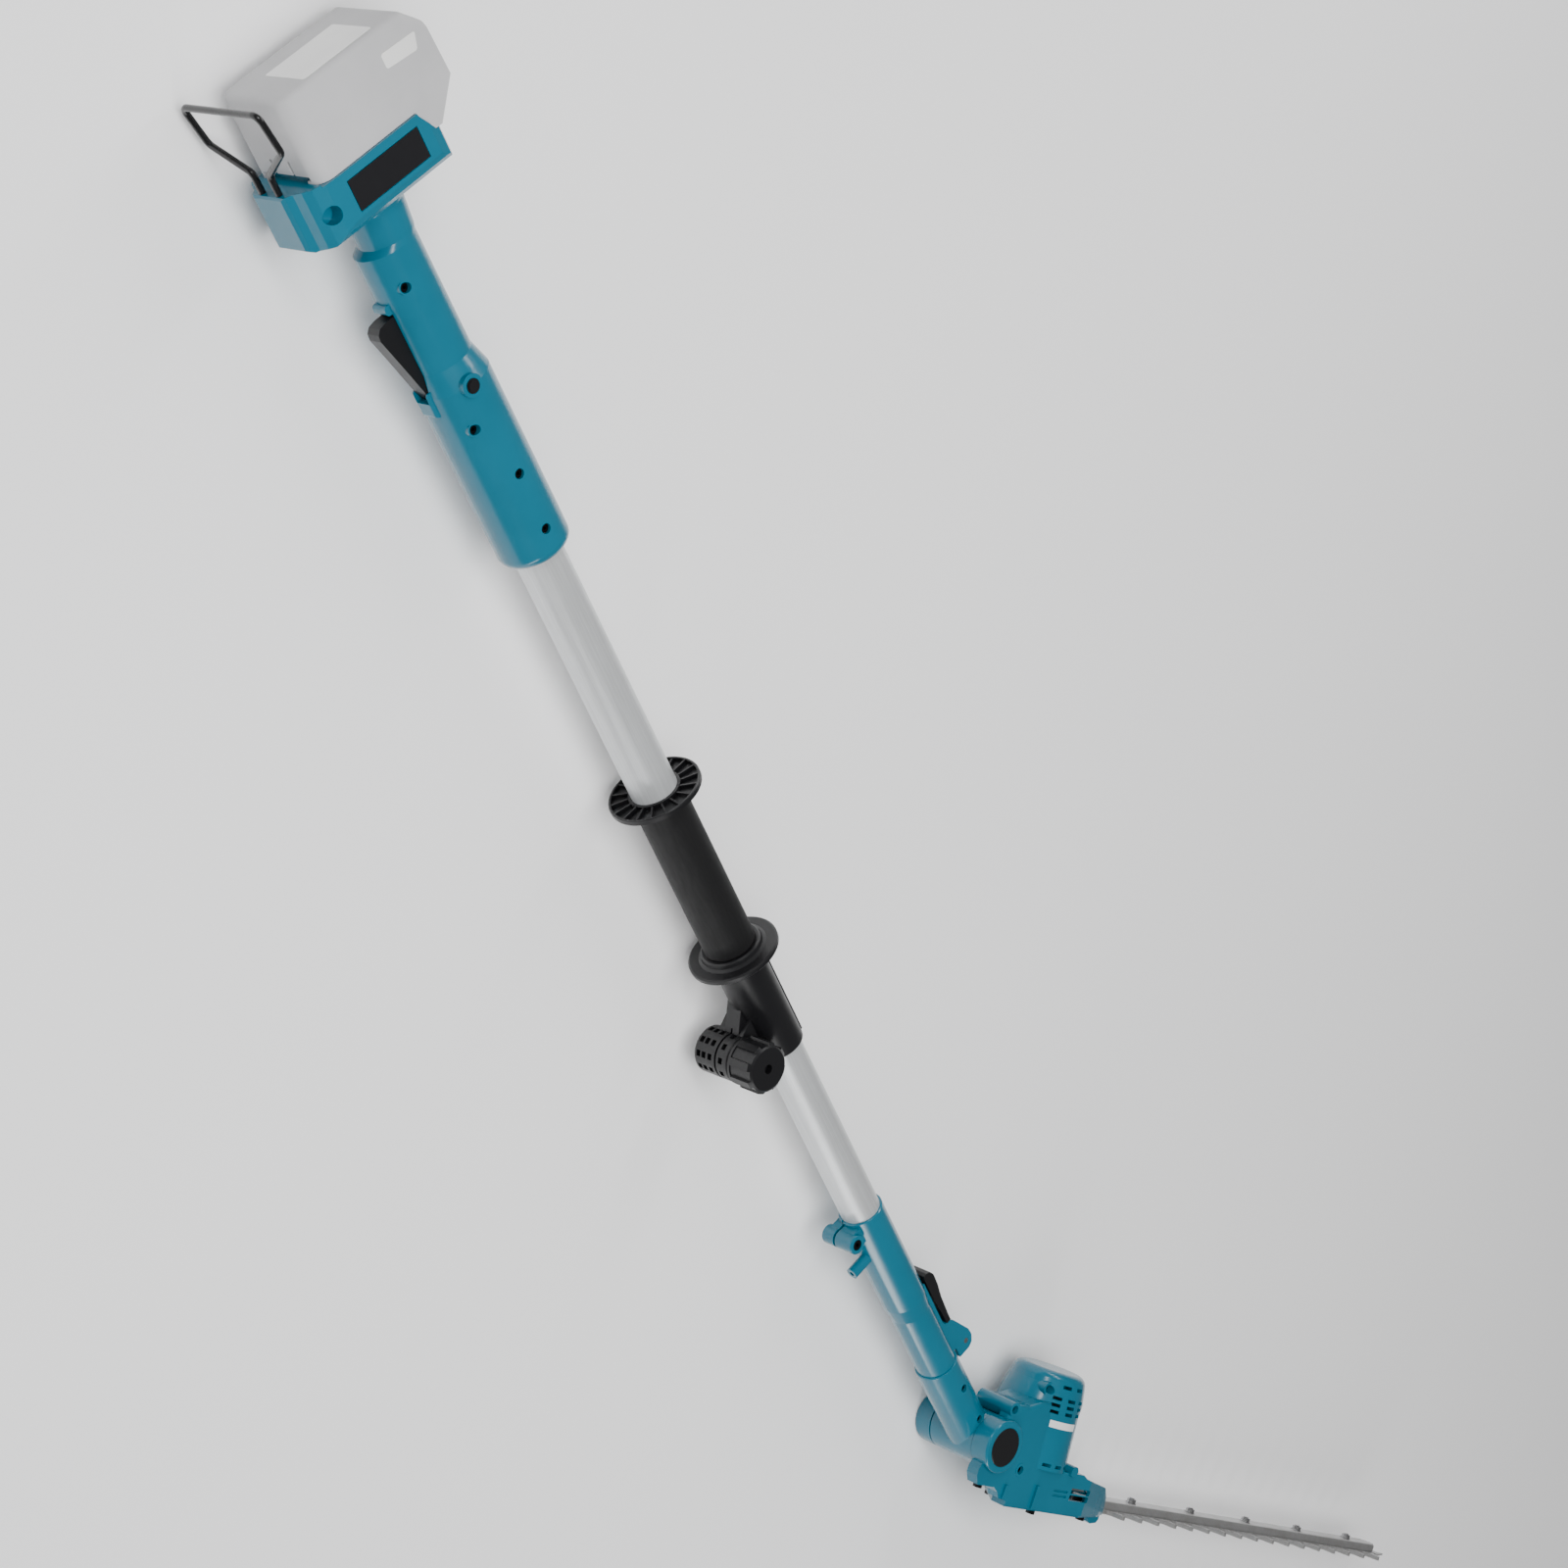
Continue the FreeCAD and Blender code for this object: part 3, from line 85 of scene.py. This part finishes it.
class Nodes:
    """A small helper for writing a material's node tree."""

    def __init__(self, name):
        self.material = bpy.data.materials.new(name)
        self.material.use_nodes = True
        self.tree = self.material.node_tree
        self.shader = self.tree.nodes["Principled BSDF"]

    def add(self, kind, **inputs):
        node = self.tree.nodes.new(kind)
        for key, value in inputs.items():
            self.give(node, key.replace("_", " "), value)
        return node

    def give(self, node, socket, value):
        target = node.inputs[socket]
        if isinstance(value, bpy.types.NodeSocket):
            self.tree.links.new(value, target)
        else:
            target.default_value = value

    def coordinates(self, stretch=(1, 1, 1), turn=(0, 0, 0)):
        place = self.tree.nodes.new("ShaderNodeTexCoord").outputs["Object"]
        mapping = self.add("ShaderNodeMapping", Vector=place, Rotation=turn, Scale=stretch)
        return mapping.outputs["Vector"]

    def noise(self, scale, detail=3.0, rough=0.5, where=None):
        where = where or self.coordinates()
        made = self.add("ShaderNodeTexNoise", Vector=where, Scale=scale, Detail=detail,
                        Roughness=rough)
        return made.outputs["Fac"]

    def spread(self, value, low, high, out_low, out_high):
        made = self.add("ShaderNodeMapRange", Value=value, From_Min=low, From_Max=high,
                        To_Min=out_low, To_Max=out_high)
        return made.outputs["Result"]

    def maths(self, operation, first, second):
        made = self.tree.nodes.new("ShaderNodeMath")
        made.operation = operation
        for place, value in enumerate((first, second)):
            self.give(made, place, value)
        return made.outputs["Value"]

    def blend(self, factor, first, second):
        made = self.tree.nodes.new("ShaderNodeMix")
        made.data_type = "RGBA"
        self.give(made, 0, factor)
        for place, value in ((6, first), (7, second)):
            self.give(made, place, value)
        return made.outputs[2]

    def edges(self, radius):
        """How far the surface turns within the radius: high on edges, zero on flats."""
        soft = self.add("ShaderNodeBevel", Radius=radius)
        sharp = self.tree.nodes.new("ShaderNodeNewGeometry")
        dot = self.tree.nodes.new("ShaderNodeVectorMath")
        dot.operation = "DOT_PRODUCT"
        self.give(dot, 0, soft.outputs["Normal"])
        self.give(dot, 1, sharp.outputs["Normal"])
        return self.maths("SUBTRACT", 1.0, dot.outputs["Value"])

    def bump(self, height, distance):
        made = self.add("ShaderNodeBump", Height=height, Distance=distance, Strength=1.0)
        return made.outputs["Normal"]

    def finish(self, **inputs):
        for key, value in inputs.items():
            self.give(self.shader, key.replace("_", " "), value)
        return self.material


def shade(color, factor):
    return tuple(min(1.0, c * factor) for c in color[:3]) + (1.0,)


def moulded(name, color, rough, grain, grain_depth, wear=0.35, coat=0.0, dust=None):
    """Moulded plastic or paint: slow colour drift, fine grain, scuffs and paler rubbed edges."""
    n = Nodes(name)
    drift = n.spread(n.noise(9.0, 4.0, 0.6), 0.3, 0.7, 0.0, 1.0)
    tone = n.blend(drift, shade(color, 0.9), shade(color, 1.07))
    specks = n.spread(n.noise(420.0, 6.0, 0.7), 0.62, 0.76, 0.0, 0.07)
    tone = n.blend(specks, tone, shade(dust or color, 1.25))
    rubbed = n.spread(n.edges(0.7 * MM), 0.12, 0.35, 0.0, wear)
    broken = n.spread(n.noise(160.0, 5.0, 0.65), 0.42, 0.62, 0.0, 1.0)
    rubbed = n.maths("MULTIPLY", rubbed, broken)
    tone = n.blend(rubbed, tone, shade(dust or color, 1.7))
    scuffs = n.noise(60.0, 6.0, 0.7, n.coordinates((1.0, 5.0, 5.0), (0.2, 0.3, 0.5)))
    gloss = n.spread(scuffs, 0.3, 0.75, rough * 0.9, rough * 1.15)
    gloss = n.maths("ADD", gloss, n.maths("MULTIPLY", rubbed, 0.2))
    fine = n.noise(grain, 2.0, 0.5)
    wave = n.noise(70.0, 2.0, 0.4)
    height = n.maths("ADD", fine, n.maths("MULTIPLY", wave, 0.9))
    return n.finish(Base_Color=tone, Roughness=gloss, Coat_Weight=coat, Coat_Roughness=0.12,
                    Normal=n.bump(height, grain_depth * MM))


def metal(name, color, rough, along, streak=0.25, stain=0.2, metallic=1.0):
    """Worked metal: streaks along one direction, slow staining and brighter edges."""
    n = Nodes(name)
    fine = n.noise(1.0, 4.0, 0.7, n.coordinates(along))
    stains = n.spread(n.noise(38.0, 6.0, 0.68), 0.42, 0.72, 0.0, stain)
    tone = n.blend(n.spread(fine, 0.3, 0.7, 0.0, 1.0), shade(color, 0.86), shade(color, 1.08))
    tone = n.blend(stains, tone, shade((0.5 * color[0], 0.45 * color[1], 0.38 * color[2]), 1.0))
    bright = n.spread(n.edges(0.5 * MM), 0.12, 0.35, 0.0, 0.5)
    tone = n.blend(bright, tone, shade(color, 1.3))
    gloss = n.spread(fine, 0.25, 0.75, rough * (1 - streak), rough * (1 + streak))
    gloss = n.maths("ADD", gloss, n.maths("MULTIPLY", stains, 0.35))
    return n.finish(Base_Color=tone, Metallic=metallic, Roughness=gloss,
                    Normal=n.bump(fine, 0.008 * MM))


TEAL = (0.0, 0.122, 0.19)
BLACK = (0.006, 0.006, 0.007)
GREY = (0.45, 0.45, 0.46)
finishes = {
    "teal_plastic": moulded("teal nylon", TEAL, 0.24, 1500.0, 0.0015, 0.05, 0.25),
    "teal_metal": moulded("teal paint", TEAL, 0.22, 900.0, 0.0015, 0.06, 0.3,
                          (0.2, 0.35, 0.42)),
    "black_plastic": moulded("black nylon", BLACK, 0.4, 2200.0, 0.006, 0.3, 0.0,
                             (0.03, 0.03, 0.03)),
    "grip_rubber": moulded("grip rubber", (0.007, 0.007, 0.0075), 0.66, 2600.0, 0.009, 0.3, 0.0,
                           (0.03, 0.028, 0.026)),
    "black_steel": moulded("black coated wire", (0.005, 0.005, 0.0055), 0.26, 700.0, 0.005, 0.3,
                           0.3, (0.06, 0.06, 0.06)),
    "plate": moulded("dark foil", (0.007, 0.007, 0.0085), 0.34, 1200.0, 0.004, 0.3, 0.2,
                     (0.07, 0.07, 0.07)),
    "pack_plastic": moulded("grey pack", GREY, 0.5, 1700.0, 0.006, 0.2, 0.0,
                            (0.55, 0.55, 0.53)),
    "cell_sleeve": moulded("cell sleeve", (0.05, 0.2, 0.12), 0.3, 900.0, 0.01),
    "pipe_alloy": metal("anodised pipe", (0.7, 0.72, 0.73), 0.42, (14.0, 900.0, 900.0), 0.15, 0.06, 0.55),
    "blade_steel": metal("ground blade", (0.5, 0.5, 0.5), 0.36, (40.0, 1500.0, 900.0), 0.3,
                         0.3, 0.8),
    "plain_steel": metal("machined steel", (0.5, 0.5, 0.51), 0.32, (600.0, 600.0, 90.0)),
    "dark_screws": metal("black oxide", (0.035, 0.035, 0.037), 0.38, (400.0, 400.0, 400.0)),
    "magnet": moulded("ferrite", (0.06, 0.06, 0.065), 0.6, 600.0, 0.06),
    "fan_plastic": moulded("fan nylon", (0.5, 0.46, 0.38), 0.5, 1200.0, 0.03),
    "contact_brass": metal("plated contact", (0.72, 0.52, 0.24), 0.25, (300.0, 900.0, 300.0)),
}
slot_of = {part["node"]: part["material_slot"] for part in record["subparts"]}
for name, obj in frame["nodes"].items():
    finish = finishes[slot_of[name]]
    obj.data.materials.clear()
    obj.data.materials.append(finish)


# ---- blank labels -------------------------------------------------------------------------

def printed(name, color):
    """A plain printed patch: smooth film with faint mottling."""
    return moulded(name, color, 0.33, 900.0, 0.004, 0.1, 0.2, color)


def patch(name, corners, outward, thick=0.3, body="battery", finish=None, inset=1.2):
    """A thin film over four or more corners in order, with clipped corners and a soft edge."""
    rounded = []
    count = len(corners)
    for i, corner in enumerate(corners):
        for other in (corners[i - 1], corners[(i + 1) % count]):
            away = other - corner
            rounded.append(corner + away.normalized() * min(inset * MM, away.length / 3))
    base = [corner - outward * 0.3 * MM for corner in rounded]
    face = [corner + outward * thick * MM for corner in rounded]
    size = len(rounded)
    mesh = bpy.data.meshes.new(name)
    sides = [(i, (i + 1) % size, size + (i + 1) % size, size + i) for i in range(size)]
    mesh.from_pydata([tuple(p) for p in base + face],
                     [], [tuple(range(size, 2 * size)), tuple(reversed(range(size)))] + sides)
    mesh.update()
    obj = bpy.data.objects.new(name, mesh)
    bpy.context.scene.collection.objects.link(obj)
    obj.data.materials.append(finish)
    bevel = obj.modifiers.new("soft edge", "BEVEL")
    bevel.width = 0.12 * MM
    bevel.segments = 2
    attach(obj, body)
    return obj


white = printed("white label", (0.78, 0.78, 0.77))
pack_low, pack_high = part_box("battery_case")
back = pack_low.x
label = [Vector((back, pole(0, y, z).y, pole(0, y, z).z))
         for y, z in ((-19, -13), (-19, 30), (45, 30), (45, -13))]
patch("battery_label", label, Vector((-1, 0, 0)), finish=white)
side = pack_high.z
stripe = [Vector((pole(x, y, 0).x, pole(x, y, 0).y, side))
          for x, y in ((-624, 38), (-613, 38), (-611, 66), (-623, 70))]
patch("battery_stripe", stripe, Vector((0, 0, 1)), finish=white)

DOME_RADIUS = 39
DOME_AXIS = 81
DOME_LEAN = 3 / 26
LABEL_START = math.radians(72)
LABEL_SWEEP = math.radians(49)


def dome_label():
    """A blank film wrapped round the near side of the motor dome."""
    steps = 14
    points = []
    for lift in (-0.25, 0.3):
        for c in (24.5, 31.0):
            centre = DOME_AXIS - DOME_LEAN * (c - 10)
            for i in range(steps + 1):
                angle = LABEL_START + LABEL_SWEEP * i / steps
                reach = DOME_RADIUS + lift
                points.append(head(centre + reach * math.cos(angle), c, reach * math.sin(angle)))
    row = steps + 1
    faces = []
    for i in range(steps):
        faces.append((2 * row + i, 2 * row + i + 1, 3 * row + i + 1, 3 * row + i))
        faces.append((row + i, row + i + 1, i + 1, i))
        faces.append((i, i + 1, 2 * row + i + 1, 2 * row + i))
        faces.append((3 * row + i, 3 * row + i + 1, row + i + 1, row + i))
    faces.append((0, 2 * row, 3 * row, row))
    faces.append((steps, row + steps, 3 * row + steps, 2 * row + steps))
    mesh = bpy.data.meshes.new("dome_label")
    mesh.from_pydata([tuple(p) for p in points], [], faces)
    mesh.update()
    for face in mesh.polygons:
        face.use_smooth = len(face.vertices) == 4
    obj = bpy.data.objects.new("dome_label", mesh)
    bpy.context.scene.collection.objects.link(obj)
    obj.data.materials.append(white)
    sharp = obj.modifiers.new("crisp rim", "EDGE_SPLIT")
    sharp.split_angle = math.radians(40)
    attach(obj, "head")


dome_label()

# ---- stage, light and camera ---------------------------------------------------------------

def stage_floor():
    mesh = bpy.data.meshes.new("floor")
    reach = 9.0
    mesh.from_pydata([(-reach, -reach, 0), (reach, -reach, 0), (reach, reach, 0), (-reach, reach, 0)],
                     [], [(0, 1, 2, 3)])
    floor = bpy.data.objects.new("floor", mesh)
    bpy.context.scene.collection.objects.link(floor)
    floor.location.z = cad_low.z - 0.5 * MM
    n = Nodes("pale floor")
    tone = n.blend(n.noise(1.5, 3.0), (0.93, 0.93, 0.94, 1), (0.96, 0.96, 0.96, 1))
    floor.data.materials.append(n.finish(Base_Color=tone, Roughness=0.75))


def area_light(name, place, target, size, power, size_y=None):
    data = bpy.data.lights.new(name, "AREA")
    data.energy = power
    data.size = size
    if size_y:
        data.shape = "RECTANGLE"
        data.size_y = size_y
    lamp = bpy.data.objects.new(name, data)
    bpy.context.scene.collection.objects.link(lamp)
    lamp.location = place
    aim = Vector(target) - Vector(place)
    lamp.rotation_mode = "QUATERNION"
    lamp.rotation_quaternion = aim.to_track_quat("-Z", "Y")
    return lamp


stage_floor()
overhead = area_light("overhead", (-1.1, -0.8, 2.8), (0, 0, 0), 2.2, 118.0)
overhead.visible_glossy = False
area_light("front_key", (-2.4, -0.4, 1.7), (0, 0, 0.05), 0.5, 12.0)
area_light("left_strip", (-1.2, 1.6, 1.0), (-0.1, 0, 0.05), 0.3, 16.0, 1.8)
area_light("right_strip", (1.5, -1.6, 0.9), (0.2, 0, 0.05), 0.3, 16.0, 1.6)
world = bpy.data.worlds.new("studio")
world.use_nodes = True
world.node_tree.nodes["Background"].inputs["Color"].default_value = (1, 1, 1, 1)
world.node_tree.nodes["Background"].inputs["Strength"].default_value = 0.2
bpy.context.scene.world = world

CAMERA_PLACE = (-1429.6, -1088.4, 1862.8)
CAMERA_HEADING = math.radians(38.293)
CAMERA_PITCH = math.radians(-43.944)
CAMERA_ROLL = math.radians(106.536)
camera_data = bpy.data.cameras.new("camera")
camera_data.lens = 77.53
camera_data.sensor_width = 36
camera_data.clip_start = 0.1
camera_data.clip_end = 50
camera = bpy.data.objects.new("camera", camera_data)
bpy.context.scene.collection.objects.link(camera)
level = Matrix.Rotation(CAMERA_HEADING - math.pi / 2, 4, "Z")
raised = Matrix.Rotation(CAMERA_PITCH + math.pi / 2, 4, "X")
rolled = Matrix.Rotation(CAMERA_ROLL, 4, "Z")
camera.matrix_world = Matrix.Translation(pole(*CAMERA_PLACE)) @ level @ raised @ rolled
bpy.context.scene.camera = camera
